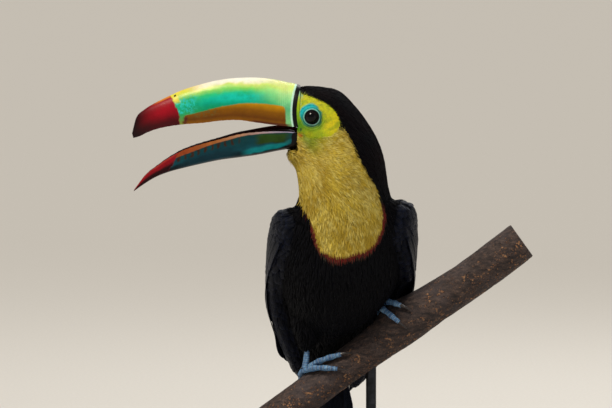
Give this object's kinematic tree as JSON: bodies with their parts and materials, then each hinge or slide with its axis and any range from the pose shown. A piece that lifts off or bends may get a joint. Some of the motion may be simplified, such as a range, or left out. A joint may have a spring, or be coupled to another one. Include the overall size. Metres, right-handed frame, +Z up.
{
  "type": "keel-billed toucan model",
  "caption": "Life-size still model of a keel-billed toucan gripping a slanted cut branch, held up by a rod on a round flat display base.",
  "frame": {"origin": "centre of the display base's underside", "axes": "+Z up; the bird's breast faces -Y and its back +Y; its head is turned to its right, so the bill points along -X; the branch rises towards +X"},
  "size_m": [0.3118, 0.2, 0.3826],
  "materials": {
    "black_plumage": "soft black feathers with a faint blue gloss",
    "yellow_plumage": "silky pale lemon feathers",
    "bill_green": "satin horn, green with an orange flank and a red tip",
    "bill_teal": "satin horn, dark teal with a red tip",
    "mouth_flesh": "dark maroon, slightly moist",
    "dark_eye": "glossy dark brown",
    "foot_blue": "scaly grey-blue skin",
    "claw_horn": "dark horn",
    "bark": "rough dry bark, pale sawn ends",
    "stained_wood": "dark stained, satin",
    "blackened_steel": "satin black"
  },
  "bodies": {
    "root": {"bill_lower": "bill_teal", "bill_upper": "bill_green", "claw_left_front_inner": "claw_horn", "claw_left_front_outer": "claw_horn", "claw_left_rear_inner": "claw_horn", "claw_left_rear_outer": "claw_horn", "claw_right_front_inner": "claw_horn", "claw_right_front_outer": "claw_horn", "claw_right_rear_inner": "claw_horn", "claw_right_rear_outer": "claw_horn", "eye_left": "dark_eye", "eye_right": "dark_eye", "head": "yellow_plumage", "neck": "yellow_plumage", "perch": "bark", "shank_left": "foot_blue", "shank_right": "foot_blue", "stand_base": "stained_wood", "stand_collar": "blackened_steel", "stand_rod": "blackened_steel", "tail": "black_plumage", "thigh_left": "black_plumage", "thigh_right": "black_plumage", "toe_left_front_inner": "foot_blue", "toe_left_front_outer": "foot_blue", "toe_left_rear_inner": "foot_blue", "toe_left_rear_outer": "foot_blue", "toe_right_front_inner": "foot_blue", "toe_right_front_outer": "foot_blue", "toe_right_rear_inner": "foot_blue", "toe_right_rear_outer": "foot_blue", "tongue": "mouth_flesh", "trunk": "black_plumage", "wing_left": "black_plumage", "wing_right": "black_plumage"}
  },
  "joints": []
}
